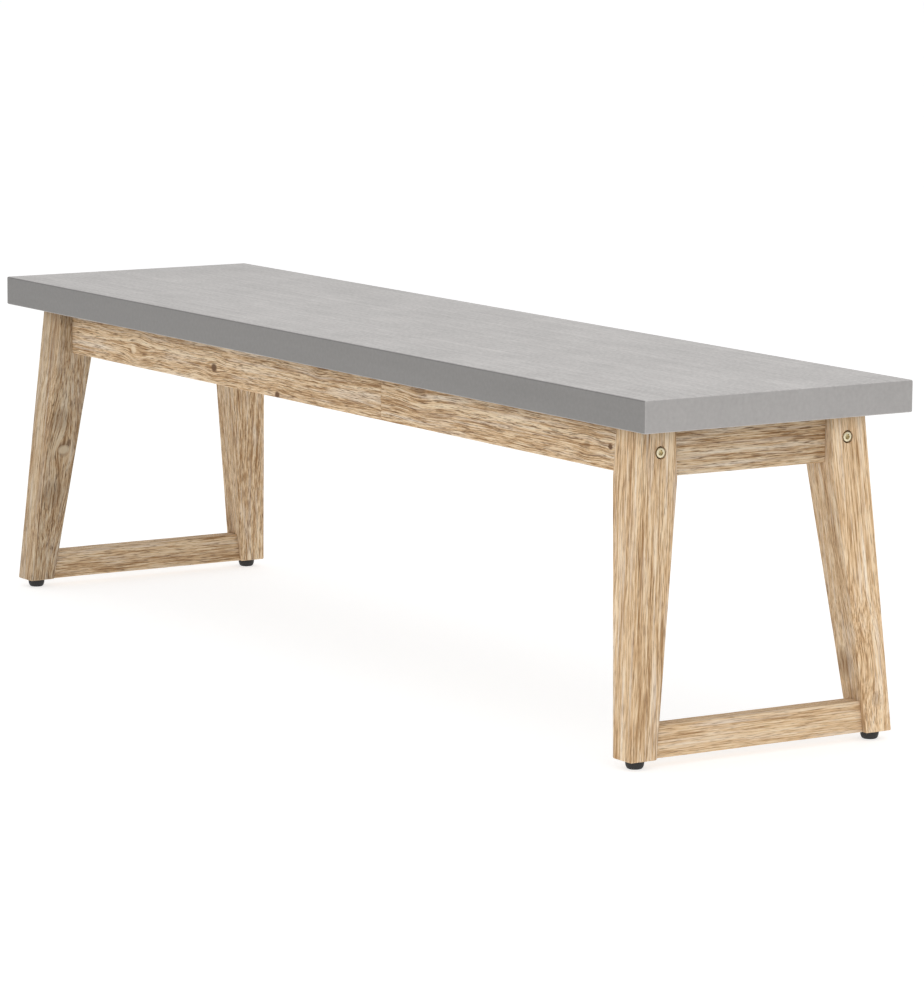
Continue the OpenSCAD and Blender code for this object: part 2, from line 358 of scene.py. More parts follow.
def section(width, height, radius):
    """Points round a rectangle with round corners.

    Each is (share, offset) across, (share, offset) up and the outward normal: a share runs from
    one side of the rectangle to the other, and an offset is added to it, in metres.
    """
    points = []
    sides = [(1, 0), (0, 1), (-1, 0), (0, -1)]
    for k, (nx, ny) in enumerate(sides):
        long = height if nx else width
        count = max(2, round((long - 2 * radius) / SECTION_PITCH))
        for i in range(count):
            s = i / count
            along = s if (nx > 0 or ny < 0) else 1 - s
            if nx:
                points.append(((nx + 1) / 2, 0, along, radius * (1 - 2 * along), nx, 0))
            else:
                points.append((along, radius * (1 - 2 * along), (ny + 1) / 2, 0, 0, ny))
        start = k * math.pi / 2
        cx, cy = [(1, 1), (0, 1), (0, 0), (1, 0)][k]
        for i in range(ROUND_STEPS):
            turn = start + math.pi / 2 * i / ROUND_STEPS
            nx2, ny2 = math.cos(turn), math.sin(turn)
            points.append((cx, radius * (nx2 - (1 if cx else -1)), cy,
                           radius * (ny2 - (1 if cy else -1)), nx2, ny2))
    return np.array(points)


def bar(name, axes, ends, edges, end_round, place=None, kinks=()):
    """A solid bar of timber with rounded arrises.

    axes orders X, Y and Z as along, across and up. ends are where it starts and stops. edges
    gives the low and high side across, then up, at a distance along. end_round holds the radii
    round its two ends. place may move the finished points.
    """
    start, stop = ends
    p0, p1, q0, q1 = edges((start + stop) / 2)
    outline = section(p1 - p0, q1 - q0, sizes().arris)
    stations = [(start + end_round[0] * (1 - math.sin(t)), end_round[0] * (1 - math.cos(t)))
                for t in np.linspace(math.pi / 2, 0, ROUND_STEPS + 1)]
    count = max(2, round((stop - start) / STATION_PITCH))
    inner = np.linspace(stations[-1][0], stop - end_round[1], count + 1)[1:-1]
    inner = sorted([*inner, *kinks])
    stations += [(a, 0) for a in inner]
    stations += [(stop - end_round[1] * (1 - math.sin(t)), end_round[1] * (1 - math.cos(t)))
                 for t in np.linspace(0, math.pi / 2, ROUND_STEPS + 1)]
    points = []
    for a, inset in stations:
        p0, p1, q0, q1 = edges(a)
        ring = np.empty((len(outline), 3))
        ring[:, axes[0]] = a
        ring[:, axes[1]] = p0 + (p1 - p0) * outline[:, 0] + outline[:, 1] - outline[:, 4] * inset
        ring[:, axes[2]] = q0 + (q1 - q0) * outline[:, 2] + outline[:, 3] - outline[:, 5] * inset
        points.append(ring)
    n = len(outline)
    faces = [tuple(range(n)), tuple(range(n * (len(stations) - 1), n * len(stations)))]
    for s in range(len(stations) - 1):
        for i in range(n):
            j = (i + 1) % n
            faces.append((s * n + i, s * n + j, (s + 1) * n + j, (s + 1) * n + i))
    points = np.concatenate(points)
    if place:
        points = place(points)
    return new_object(name + "_blank", mesh_of(name, points, faces))


def relief_tree():
    """Geometry Nodes that brush a timber's soft fibres down, along the grain."""
    tree = bpy.data.node_groups.new("Brushed relief", "GeometryNodeTree")
    face = tree.interface
    face.new_socket("Geometry", in_out="INPUT", socket_type="NodeSocketGeometry")
    for name in ("Depth", "Grain Length", "Grain Width", "Seed"):
        face.new_socket(name, in_out="INPUT", socket_type="NodeSocketFloat")
    face.new_socket("Material", in_out="INPUT", socket_type="NodeSocketMaterial")
    face.new_socket("Geometry", in_out="OUTPUT", socket_type="NodeSocketGeometry")
    given = add(tree, "NodeGroupInput").outputs
    timber = add(tree, "GeometryNodeInputNamedAttribute", {"Name": "timber"}, data_type="FLOAT_VECTOR")
    skin = add(tree, "GeometryNodeInputNamedAttribute", {"Name": "skin"}, data_type="FLOAT")
    size = add(tree, "ShaderNodeCombineXYZ", {
        "X": given["Grain Length"], "Y": given["Grain Width"], "Z": given["Grain Width"]})
    scaled = add(tree, "ShaderNodeVectorMath", {0: timber, 1: size}, operation="DIVIDE")
    fibres = add(tree, "ShaderNodeTexNoise", {
        "Vector": scaled, "W": given["Seed"], "Scale": 1.0, "Detail": 2.0}, noise_dimensions="4D")
    share = add(tree, "ShaderNodeMapRange", {
        "Value": fibres, "From Min": 0.38, "From Max": 0.66, "To Min": 0.0, "To Max": -1.0})
    depth = add(tree, "ShaderNodeMath", {0: share, 1: given["Depth"]}, operation="MULTIPLY")
    masked = add(tree, "ShaderNodeMath", {0: depth, 1: skin}, operation="MULTIPLY")
    normal = add(tree, "GeometryNodeInputNormal")
    offset = add(tree, "ShaderNodeVectorMath", {0: normal, "Scale": masked}, operation="SCALE")
    moved = add(tree, "GeometryNodeSetPosition", {"Geometry": given["Geometry"], "Offset": offset})
    real = add(tree, "GeometryNodeRealizeInstances", {"Geometry": moved})
    painted = add(tree, "GeometryNodeSetMaterial", {"Geometry": real, "Material": given["Material"]})
    add(tree, "NodeGroupOutput", {"Geometry": painted})
    return tree


def store(mesh, name, kind, values):
    """Writes a point attribute of a mesh."""
    attribute = mesh.attributes.get(name) or mesh.attributes.new(name, kind, "POINT")
    field = "vector" if kind == "FLOAT_VECTOR" else "value"
    attribute.data.foreach_set(field, np.asarray(values, np.float32).ravel())


def points_of(mesh):
    found = np.empty(len(mesh.vertices) * 3, np.float32)
    mesh.vertices.foreach_get("co", found)
    return found.reshape(-1, 3)


def timber_coordinates(points, axes, lean=None):
    """Distances along the grain and across it both ways. lean gives how far the grain has leant."""
    found = points[:, list(axes)].copy()
    if lean is not None:
        found[:, 1:] -= lean(found[:, 0])
    return found


def finish_timber(blank, name, axes, ends, material, cutters, lean=None, seed=0.0):
    """Brushes a blank, bores it, marks its grain and hands it over in place of its CAD node."""
    points = points_of(blank.data)
    grain = timber_coordinates(points, axes, lean)
    store(blank.data, "timber", "FLOAT_VECTOR", grain)
    fade = 6 * MM
    near_end = np.minimum(points[:, axes[0]] - ends[0], ends[1] - points[:, axes[0]])
    store(blank.data, "skin", "FLOAT", np.clip(near_end / fade, 0, 1))
    relief = blank.modifiers.new("Relief", "NODES")
    relief.node_group = bpy.data.node_groups.get("Brushed relief") or relief_tree()
    set_inputs(relief, {"Depth": sizes().relief, "Grain Length": 60 * MM, "Grain Width": 4 * MM,
                        "Seed": seed, "Material": material})
    piece = finished(blank, name + "_timber")
    for attribute in ("timber", "skin"):
        piece.data.attributes.remove(piece.data.attributes[attribute])
    for k, cutter in enumerate(cutters):
        bore = piece.modifiers.new(f"Bores {k}", "BOOLEAN")
        bore.operation, bore.solver, bore.object = "DIFFERENCE", "EXACT", cutter
    piece = finished(piece, name + "_timber")
    discard(*cutters)
    store(piece.data, "timber", "FLOAT_VECTOR", timber_coordinates(points_of(piece.data), axes, lean))
    piece.data.materials.clear()
    piece.data.materials.append(material)
    smooth(piece)
    hand_over(piece, "acacia", name)
    return piece


# ---------------------------------------------------------------- bores

CLEARANCE = 0.05 * MM
BOLT_HOLE = 9 * MM
SCREW_HOLE = 7 * MM
SCREW_BORE = 13 * MM
PAST = 8 * MM


def rod(axis, steps, centre):
    """A stepped round cutter along an axis: steps are (radius, from, to), centre is on its axis."""
    profile = [(0, steps[0][1])]
    for radius, low, high in steps:
        profile += [(radius, low), (radius, high)]
    profile.append((0, steps[-1][2]))
    mesh = revolve("cutter", profile, 40)
    points = points_of(mesh)
    turned = np.empty_like(points)
    others = [k for k in range(3) if k != axis]
    turned[:, axis] = points[:, 2]
    turned[:, others[0]] = points[:, 0] + centre[others[0]]
    turned[:, others[1]] = points[:, 1] + centre[others[1]]
    return turned, [tuple(f.vertices) for f in mesh.polygons]


def bores_for(node):
    """The cutters of a timber's bores, one object for each direction in which something goes in."""
    lo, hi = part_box(node)
    shapes = {0: [], 1: [], 2: []}

    def meets(low, high):
        return all(low[k] < hi[k] - CLEARANCE and high[k] > lo[k] + CLEARANCE for k in range(3))

    for group in ("apron_dowels", "end_rail_dowels", "cross_rail_dowels", "stretcher_dowels"):
        for low, high in solids_of(group):
            if meets(low, high):
                size = high - low
                axis = max(range(3), key=lambda k: size[k])
                radius = min(size) / 2 + CLEARANCE
                steps = [(radius, low[axis] - CLEARANCE, high[axis] + CLEARANCE)]
                shapes[axis].append(rod(axis, steps, (low + high) / 2))
    washers = solids_of("leg_bolt_washers")
    for low, high in solids_of("leg_bolts"):
        if not meets(low, high):
            continue
        centre = (low + high) / 2
        washer = min(washers, key=lambda b: ((b[0] + b[1]) / 2 - centre).length)
        side = math.copysign(1, centre.x)
        seat = (washer[0] if side > 0 else washer[1]).x
        tip = (low if side > 0 else high).x
        steps = [(BOLT_HOLE / 2, side * tip - PAST, side * seat),
                 (sizes().counterbore / 2, side * seat, side * seat + 4 * PAST)]
        points, faces = rod(0, steps, centre)
        points[:, 0] *= side
        shapes[0].append((points, faces))
    for low, high in solids_of("barrel_nuts"):
        if meets(low, high):
            centre = (low + high) / 2
            side = math.copysign(1, centre.y)
            radius = (high.x - low.x) / 2 + CLEARANCE
            outer = max(side * low.y, side * high.y) + CLEARANCE
            points, faces = rod(1, [(radius, outer - 4 * PAST, outer)], centre)
            points[:, 1] *= side
            shapes[1].append((points, faces))
    washers = solids_of("slab_screw_washers")
    for low, high in solids_of("slab_screws"):
        if meets(low, high):
            centre = (low + high) / 2
            washer = min(washers, key=lambda b: ((b[0] + b[1]) / 2 - centre).length)
            seat = washer[1].z
            steps = [(SCREW_BORE / 2, lo.z - PAST, seat), (SCREW_HOLE / 2, seat, hi.z + PAST)]
            shapes[2].append(rod(2, steps, centre))
    return [joined(f"{node}_cutter_{axis}", found) for axis, found in shapes.items() if found]


def joined(name, shapes):
    """One hidden object from several (points, faces)."""
    points, faces, start = [], [], 0
    for some, sides in shapes:
        points.append(some)
        faces += [tuple(v + start for v in side) for side in sides]
        start += len(some)
    made = new_object(name, mesh_of(name, np.concatenate(points), faces))
    made.hide_render = True
    return made


# ---------------------------------------------------------------- timber finish

# Knots and marks of each timber: place along the grain and across it both ways, and radius, in
# millimetres, then how dark the heart is. Below zero it is a pale mark. The broad dark marks on the legs are
# painted shade.
KNOTS_AND_SHADE_MARKS = {
    "front_apron": [(-515, -150, 370, 6.5, -0.7), (-500, -150, 376, 9, 0.15), (-290, -150, 369, 7, 1.0),
                    (-122, -150, 350, 6, 1.0), (-15, -150, 401, 6, 0.7), (232, -150, 400, 13, 0.5),
                    (609, -150, 372, 6, 0.45), (658, -150, 375, 4.5, 1.0)],
    # painted shade: the two broad marks of the front left leg darken its inner face; the first two are a knot
    "front_left_leg": [(205, 48.7, 28, 11, 0.5), (204, 48.7, 28, 6, -0.8), (250, 48.7, 18, 17, 0.28),
                       (140, 48.7, 20, 20, 0.3)],
    # painted shade: the rear right leg's marks darken its inner faces low down
    "rear_right_leg": [(52, 0, -20, 9, 0.35), (95, -28, -40, 20, 0.35)],
}
GRAIN = {
    # name: length and width of the pattern in millimetres, detail, roughness. Real pores are 0.2 mm
    # wide and the finest fibres 0.1 mm: both are drawn coarser, or they wouldn't show.
    "fibre": (46, 1.3, 3.0, 0.72),
    "pore": (20, 1.1, 2.0, 0.6),
    "band": (380, 14, 1.5, 0.5),
    "wash": (150, 6, 3.0, 0.65),
}
RING_WIDTH = 4.5 * MM
# how much of the tone comes from the fibres, the growth rings and the broad bands
FIBRE_SHARE, RING_SHARE, BAND_SHARE = 0.64, 0.17, 0.19
KNOT_BEND = 0.5
TOOTH, JOINT_LINE = 5 * MM, 0.3 * MM
# painted shade: how much darker the faces that look into the bench are, and the painted shadow under the slab
# with the heights it spans
INWARD_PAINTED_SHADE, SLAB_SHADOW_TONE = 0.81, 0.7
SLAB_SHADOW_FROM, SLAB_SHADOW_TO = 386 * MM, 408 * MM


def bent_round(tree, grain, knots):
    """The timber's coordinates bent round its knots and painted shade marks, and each mark's (distance in
    radii, darkness).
    """
    marks = []
    for along, across, up, radius, dark in knots:
        centre = (along * MM, across * MM, up * MM)
        off = add(tree, "ShaderNodeVectorMath", {0: grain, 1: centre}, operation="SUBTRACT")
        spread = (1 / (3.4 * radius * MM), 1 / (2.2 * radius * MM), 1 / (2.2 * radius * MM))
        near = add(tree, "ShaderNodeVectorMath", {0: off, 1: spread}, operation="MULTIPLY")
        square = add(tree, "ShaderNodeVectorMath", {0: near, 1: near}, operation="DOT_PRODUCT")
        power = add(tree, "ShaderNodeMath", {0: square, 1: -1.0}, operation="MULTIPLY")
        fall = add(tree, "ShaderNodeMath", {0: power}, operation="EXPONENT")
        across_grain = (0.0, KNOT_BEND, KNOT_BEND)
        aside = add(tree, "ShaderNodeVectorMath", {0: off, 1: across_grain}, operation="MULTIPLY")
        bent = add(tree, "ShaderNodeVectorMath", {0: aside, "Scale": fall}, operation="SCALE")
        grain = add(tree, "ShaderNodeVectorMath", {0: grain, 1: bent}, operation="SUBTRACT")
        heart = (1 / (1.25 * radius * MM), 1 / (radius * MM), 1 / (radius * MM))
        core = add(tree, "ShaderNodeVectorMath", {0: off, 1: heart}, operation="MULTIPLY")
        marks.append((add(tree, "ShaderNodeVectorMath", {0: core}, operation="LENGTH"), dark))
    return grain, marks


def finger_joint(tree, grain, shift, seam):
    """Timber from another tree past a seam, and the thin zigzag of glue in it."""
    parts = add(tree, "ShaderNodeSeparateXYZ", {0: grain}).outputs
    teeth = add(tree, "ShaderNodeMath", {0: parts[2], 1: TOOTH}, operation="PINGPONG")
    lean = add(tree, "ShaderNodeMath", {0: teeth, 1: 0.35, 2: parts[0]}, operation="MULTIPLY_ADD")
    past = add(tree, "ShaderNodeMath", {0: lean, 1: seam}, operation="GREATER_THAN")
    jump = add(tree, "ShaderNodeVectorMath", {0: (0.53, 0.217, 0.319), "Scale": past}, operation="SCALE")
    shift = add(tree, "ShaderNodeVectorMath", {0: shift, 1: jump}, operation="ADD")
    return shift, add(tree, "ShaderNodeMath", {0: lean, 1: seam, 2: JOINT_LINE}, operation="COMPARE")


def growth_rings(tree, grain, shift, seed):
    """Rings round a pith that lies outside the piece and wanders along it."""
    wander = add(tree, "ShaderNodeVectorMath", {0: shift, 1: (2.2, 9.0, 9.0)}, operation="MULTIPLY")
    drift = add(tree, "ShaderNodeTexNoise", {"Vector": wander, "Scale": 1.0, "Detail": 2.0})
    across = add(tree, "ShaderNodeVectorMath", {0: grain, 1: (0.0, 1.0, 1.0)}, operation="MULTIPLY")
    heart = (0.0, 0.045 - seed * 0.013, 0.06 + seed * 0.021)
    pith = add(tree, "ShaderNodeVectorMath", {0: across, 1: heart}, operation="SUBTRACT")
    out = add(tree, "ShaderNodeVectorMath", {0: pith}, operation="LENGTH")
    ring = add(tree, "ShaderNodeMath", {0: drift, 1: 22 * MM, 2: out}, operation="MULTIPLY_ADD")
    count = add(tree, "ShaderNodeMath", {0: ring, 1: 1 / RING_WIDTH}, operation="MULTIPLY")
    return add(tree, "ShaderNodeTexNoise", {"W": count, "Scale": 1.0, "Detail": 1.5}, noise_dimensions="1D")


def painted_shade(tree, tone):
    """A factor for the colour that paints shade: faces that look into the bench are painted darker,
    and a painted shadow darkens the timber's top under the slab."""
    space = add(tree, "ShaderNodeTexCoord").outputs
    place = add(tree, "ShaderNodeVectorMath", {0: space["Object"]}, operation="SIGN")
    outward = add(tree, "ShaderNodeVectorMath", {0: space["Normal"], 1: place}, operation="MULTIPLY")
    ways = add(tree, "ShaderNodeSeparateXYZ", {0: outward}).outputs
    least = add(tree, "ShaderNodeMath", {0: ways[0], 1: ways[1]}, operation="MINIMUM")
    inward_shade = add(tree, "ShaderNodeMapRange", {
        "Value": least, "From Min": -0.4, "From Max": -0.9, "To Min": tone, "To Max": INWARD_PAINTED_SHADE * tone})
    height = add(tree, "ShaderNodeSeparateXYZ", {0: space["Object"]}).outputs[2]
    slab_shadow = add(tree, "ShaderNodeMapRange", {
        "Value": height, "From Min": SLAB_SHADOW_FROM, "From Max": SLAB_SHADOW_TO,
        "To Min": 1.0, "To Max": SLAB_SHADOW_TONE})
    return add(tree, "ShaderNodeMath", {0: inward_shade, 1: slab_shadow}, operation="MULTIPLY")


def acacia(name, tone=1.0, seed=0.0, contrast=1.0, knots=(), seam=None):
    """Acacia, brushed, limewashed and thinly oiled.

    Wire brushing opens the soft fibres, so that fine streaks and short dark pores run along the
    grain, and the white pigment stays in some of them: pale, dry and fibrous, with no gloss.
    """
    hue = colours()
    material, tree, shader = new_material(name)
    grain = add(tree, "ShaderNodeAttribute", attribute_name="timber").outputs["Vector"]
    grain, marks = bent_round(tree, grain, knots)
    start = (seed * 1.37, seed * 0.61, seed * 0.43)
    shift = add(tree, "ShaderNodeVectorMath", {0: grain, 1: start}, operation="ADD")
    line = None
    if seam is not None:
        shift, line = finger_joint(tree, grain, shift, seam)
    found = {}
    for key, (length, width, detail, rough) in GRAIN.items():
        size = (1 / (length * MM), 1 / (width * MM), 1 / (width * MM))
        scaled = add(tree, "ShaderNodeVectorMath", {0: shift, 1: size}, operation="MULTIPLY")
        found[key] = add(tree, "ShaderNodeTexNoise", {
            "Vector": scaled, "Scale": 1.0, "Detail": detail, "Roughness": rough})
    rings = growth_rings(tree, grain, shift, seed)
    blend = add(tree, "ShaderNodeMath", {0: found["fibre"], 1: FIBRE_SHARE}, operation="MULTIPLY")
    blend = add(tree, "ShaderNodeMath", {0: rings, 1: RING_SHARE, 2: blend}, operation="MULTIPLY_ADD")
    blend = add(tree, "ShaderNodeMath", {0: found["band"], 1: BAND_SHARE, 2: blend}, operation="MULTIPLY_ADD")
    half = 0.108 / contrast
    share = add(tree, "ShaderNodeMapRange", {"Value": blend, "From Min": 0.5 - half, "From Max": 0.5 + half})
    ramp = add(tree, "ShaderNodeValToRGB", {"Fac": share})
    stops = ramp.color_ramp.elements
    stops[0].color = (*hue.wood_dark, 1)
    stops[1].color = (*hue.wood_pale, 1)
    stops.new(0.5).color = (*hue.wood_mid, 1)
    wash = add(tree, "ShaderNodeMapRange", {
        "Value": found["wash"], "From Min": 0.5, "From Max": 0.72, "To Max": 0.6})
    shade = add(tree, "ShaderNodeMix", {0: wash, 6: ramp, 7: (*hue.limewash, 1)}, data_type="RGBA")
    pores = add(tree, "ShaderNodeMapRange", {
        "Value": found["pore"], "From Min": 0.53, "From Max": 0.68, "To Max": 0.62 * contrast})
    shade = add(tree, "ShaderNodeMix", {0: pores, 6: shade, 7: (*hue.pore, 1)}, data_type="RGBA")
    # knots, and broad marks of painted shade
    for reach, dark in marks:
        whorl = add(tree, "ShaderNodeTexNoise", {"W": reach, "Scale": 4.0, "Detail": 2.0},
                    noise_dimensions="1D")
        edge = add(tree, "ShaderNodeMath", {0: whorl, 1: 0.5, 2: reach}, operation="MULTIPLY_ADD")
        heart = add(tree, "ShaderNodeMapRange", {
            "Value": edge, "From Min": 1.25, "From Max": 0.8, "To Max": abs(dark)})
        tint = hue.knot_and_shade_mark if dark > 0 else hue.wood_pale
        shade = add(tree, "ShaderNodeMix", {0: heart, 6: shade, 7: (*tint, 1)}, data_type="RGBA")
    if line is not None:
        shade = add(tree, "ShaderNodeMix", {0: line, 6: shade, 7: (*hue.wood_dark, 1)}, data_type="RGBA")
    # painted shade: the piece's tone, darkened on faces that look into the bench and by a painted shadow
    # under the slab
    strength = painted_shade(tree, tone)
    toned = add(tree, "ShaderNodeVectorMath", {0: shade, "Scale": strength}, operation="SCALE")
    rough = add(tree, "ShaderNodeMapRange", {
        "Value": found["fibre"], "From Min": 0.3, "From Max": 0.7, "To Min": 0.88, "To Max": 0.66})
    height = add(tree, "ShaderNodeMath", {0: found["fibre"], 1: pores}, operation="SUBTRACT")
    bump = add(tree, "ShaderNodeBump", {"Height": height, "Strength": 0.55, "Distance": 0.5 * MM})
    feed(tree, shader, {"Base Color": toned, "Roughness": rough, "Normal": bump})
    return material


# ---------------------------------------------------------------- other finishes


def cast_cement():
    """Glass-fibre cement, cast face down, ground and sealed.

    Grinding leaves the seat a soft, cloudy grey with faint strokes along the slab. The ends and
    the long sides are painted darker than the seat by the way they face: painted shade. It is matt,
    with a fine grit, drawn at 5 mm where the real one is below 1 mm, and a few pinholes.
    """
    hue = colours()
    material, tree, shader = new_material("ground_fibre_cement")
    space = add(tree, "ShaderNodeTexCoord").outputs
    place = space["Object"]
    facing = add(tree, "ShaderNodeSeparateXYZ", {0: space["Normal"]}).outputs
    end = add(tree, "ShaderNodeMath", {0: facing[0]}, operation="ABSOLUTE")
    side = add(tree, "ShaderNodeMath", {0: facing[1]}, operation="ABSOLUTE")
    # painted shade: the ends and the long sides are darkened by the way they face, and their mottle is calmer
    ground = add(tree, "ShaderNodeMapRange", {"Value": end, "From Min": 0.55, "From Max": 0.9})
    cast = add(tree, "ShaderNodeMapRange", {"Value": side, "From Min": 0.55, "From Max": 0.9})
    base = add(tree, "ShaderNodeMix", {
        0: ground, 6: (*hue.cement, 1), 7: (*hue.cement_end_shade, 1)}, data_type="RGBA")
    base = add(tree, "ShaderNodeMix", {0: cast, 6: base, 7: (*hue.cement_side_shade, 1)}, data_type="RGBA")
    cloud = add(tree, "ShaderNodeTexNoise", {
        "Vector": place, "Scale": 1 / (60 * MM), "Detail": 5.0, "Roughness": 0.6})
    stroke_size = (1 / (260 * MM), 1 / (7 * MM), 1 / (20 * MM))
    drawn = add(tree, "ShaderNodeVectorMath", {0: place, 1: stroke_size}, operation="MULTIPLY")
    stroke = add(tree, "ShaderNodeTexNoise", {"Vector": drawn, "Scale": 1.0, "Detail": 3.0})
    grit = add(tree, "ShaderNodeTexNoise", {"Vector": place, "Scale": 1 / (5 * MM), "Detail": 3.0})
    total = 0.0
    for pattern, weight in ((cloud, 0.18), (stroke, 0.16), (grit, 0.28)):
        total = add(tree, "ShaderNodeMath", {0: pattern, 1: weight, 2: total}, operation="MULTIPLY_ADD")
    share = add(tree, "ShaderNodeMapRange", {
        "Value": total, "From Min": 0.21, "From Max": 0.41, "To Min": 0.78, "To Max": 1.22})
    smoother = add(tree, "ShaderNodeMath", {0: cast, 1: ground}, operation="MAXIMUM")
    calm = add(tree, "ShaderNodeMath", {0: smoother, 1: 0.65}, operation="MULTIPLY")
    share = add(tree, "ShaderNodeMix", {0: calm, 2: share, 3: 1.0})
    # the long upper arrises are drawn darker
    arris = add(tree, "ShaderNodeMath", {0: side, 1: facing[2]}, operation="MULTIPLY")
    lined = add(tree, "ShaderNodeMapRange", {
        "Value": arris, "From Min": 0.15, "From Max": 0.45, "To Min": 1.0, "To Max": 0.62})
    share = add(tree, "ShaderNodeMath", {0: share, 1: lined}, operation="MULTIPLY")
    mottled = add(tree, "ShaderNodeVectorMath", {0: base, "Scale": share}, operation="SCALE")
    cells = add(tree, "ShaderNodeTexVoronoi", {"Vector": place, "Scale": 1 / (26 * MM)})
    hole = add(tree, "ShaderNodeMapRange", {
        "Value": cells, "From Min": 0.028, "From Max": 0.016, "To Max": 0.35})
    pitted = add(tree, "ShaderNodeMix", {0: hole, 6: mottled, 7: linear("#77736f", 1)}, data_type="RGBA")
    rough = add(tree, "ShaderNodeMapRange", {
        "Value": cloud, "From Min": 0.3, "From Max": 0.7, "To Min": 0.62, "To Max": 0.74})
    height = add(tree, "ShaderNodeMath", {0: grit, 1: hole}, operation="SUBTRACT")
    bump = add(tree, "ShaderNodeBump", {"Height": height, "Strength": 0.25, "Distance": 0.25 * MM})
    feed(tree, shader, {"Base Color": pitted, "Roughness": rough, "Normal": bump})
    return material


def plated_steel(name, code, rough):
    """Zinc-plated steel: a metal sheen, slightly clouded, that yellow passivation warms."""
    material, tree, shader = new_material(name)
    place = add(tree, "ShaderNodeTexCoord").outputs["Object"]
    cloud = add(tree, "ShaderNodeTexNoise", {"Vector": place, "Scale": 1 / (3 * MM), "Detail": 3.0})
    tint = add(tree, "ShaderNodeMapRange", {
        "Value": cloud, "From Min": 0.3, "From Max": 0.7, "To Min": 0.82, "To Max": 1.1})
    base = add(tree, "ShaderNodeVectorMath", {0: linear(code), "Scale": tint}, operation="SCALE")
    finish = add(tree, "ShaderNodeMapRange", {
        "Value": cloud, "From Min": 0.3, "From Max": 0.7, "To Min": rough - 0.06, "To Max": rough + 0.1})
    feed(tree, shader, {"Base Color": base, "Roughness": finish, "Metallic": 1.0})
    return material


def moulded_rubber():
    """Black rubber from a spark-eroded mould: dark, matt and finely pitted."""
    material, tree, shader = new_material("moulded_rubber")
    place = add(tree, "ShaderNodeTexCoord").outputs["Object"]
    pits = add(tree, "ShaderNodeTexNoise", {"Vector": place, "Scale": 1 / (0.6 * MM), "Detail": 2.0})
    tint = add(tree, "ShaderNodeMix", {
        0: pits, 6: linear("#19191a", 1), 7: linear("#2e2d2c", 1)}, data_type="RGBA")
    rough = add(tree, "ShaderNodeMapRange", {"Value": pits, "To Min": 0.5, "To Max": 0.75})
    bump = add(tree, "ShaderNodeBump", {"Height": pits, "Strength": 0.3, "Distance": 0.1 * MM})
    feed(tree, shader, {"Base Color": tint, "Roughness": rough, "Normal": bump})
    return material


def turned_beech():
    """Plain beech dowel: pale, pinkish and even, with fine short flecks."""
    material, tree, shader = new_material("turned_beech")
    place = add(tree, "ShaderNodeTexCoord").outputs["Object"]
    fleck = add(tree, "ShaderNodeTexNoise", {"Vector": place, "Scale": 1 / (1.2 * MM), "Detail": 2.0})
    tint = add(tree, "ShaderNodeMix", {
        0: fleck, 6: linear("#c9a274", 1), 7: linear("#e2c49a", 1)}, data_type="RGBA")
    feed(tree, shader, {"Base Color": tint, "Roughness": 0.6})
    return material


# ---------------------------------------------------------------- operators


class BENCH_OT_slab(bpy.types.Operator):
    """Casts the hollow seat slab with its rim, ribs and insert holes"""

    bl_idname = "bench.slab"
    bl_label = "Seat slab"

    def execute(self, context):
        size = sizes()
        lo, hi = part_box("slab")
        ribs = sorted((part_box(n)[0].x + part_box(n)[1].x) / 2
                      for n in ("left_end_rail", "left_cross_rail", "right_cross_rail", "right_end_rail"))
        xs = [lo.x, lo.x + size.slab_rim]
        for x in ribs:
            xs += [x - size.rib_width / 2, x + size.rib_width / 2]
        xs += [hi.x - size.slab_rim, hi.x]
        ys = [lo.y, lo.y + size.slab_rim, hi.y - size.slab_rim, hi.y]
        zs = [lo.z, hi.z - size.slab_skin, hi.z]
        # cells of the grid are cement, except the bays between the rim and the ribs
        solid = {(i, j, k) for i in range(len(xs) - 1) for j in range(3) for k in range(2)
                 if not (k == 0 and j == 1 and i % 2 == 1)}
        blank = new_object("slab_blank", grid_mesh("slab", (xs, ys, zs), solid))
        round_edges = blank.modifiers.new("Edges", "BEVEL")
        round_edges.width, round_edges.segments = size.slab_round, 4
        round_edges.limit_method, round_edges.angle_limit = "ANGLE", math.radians(40)
        holes = []
        for low, high in solids_of("slab_inserts"):
            radius = (high.x - low.x) / 2 + CLEARANCE
            holes.append(rod(2, [(radius, low.z - PAST, high.z + CLEARANCE)], (low + high) / 2))
        cutter = joined("slab_cutter", holes)
        bore = blank.modifiers.new("Holes", "BOOLEAN")
        bore.operation, bore.solver, bore.object = "DIFFERENCE", "EXACT", cutter
        piece = finished(blank, "seat_slab")
        discard(cutter)
        piece.data.materials.clear()
        piece.data.materials.append(cast_cement())
        smooth(piece)
        hand_over(piece, "fibre_cement", "slab")
        return {"FINISHED"}


def grid_mesh(name, cuts, solid):
    """A closed mesh round the solid cells of a grid with those cuts along X, Y and Z."""
    xs, ys, zs = cuts
    points, numbers, faces = [], {}, []

    def number(i, j, k):
        if (i, j, k) not in numbers:
            numbers[i, j, k] = len(points)
            points.append((xs[i], ys[j], zs[k]))
        return numbers[i, j, k]

    for cell in sorted(solid):
        for axis in range(3):
            u, v = [a for a in range(3) if a != axis]
            for side in (0, 1):
                beside = list(cell)
                beside[axis] += 2 * side - 1
                if tuple(beside) in solid:
                    continue
                ring = []
                for du, dv in ((0, 0), (1, 0), (1, 1), (0, 1)):
                    corner = list(cell)
                    corner[axis] += side
                    corner[u] += du
                    corner[v] += dv
                    ring.append(number(*corner))
                faces.append(tuple(ring))
    mesh = mesh_of(name, points, faces)
    shell = bmesh.new()
    shell.from_mesh(mesh)
    bmesh.ops.dissolve_limit(shell, angle_limit=math.radians(1), verts=shell.verts, edges=shell.edges)
    shell.to_mesh(mesh)
    shell.free()
    return mesh


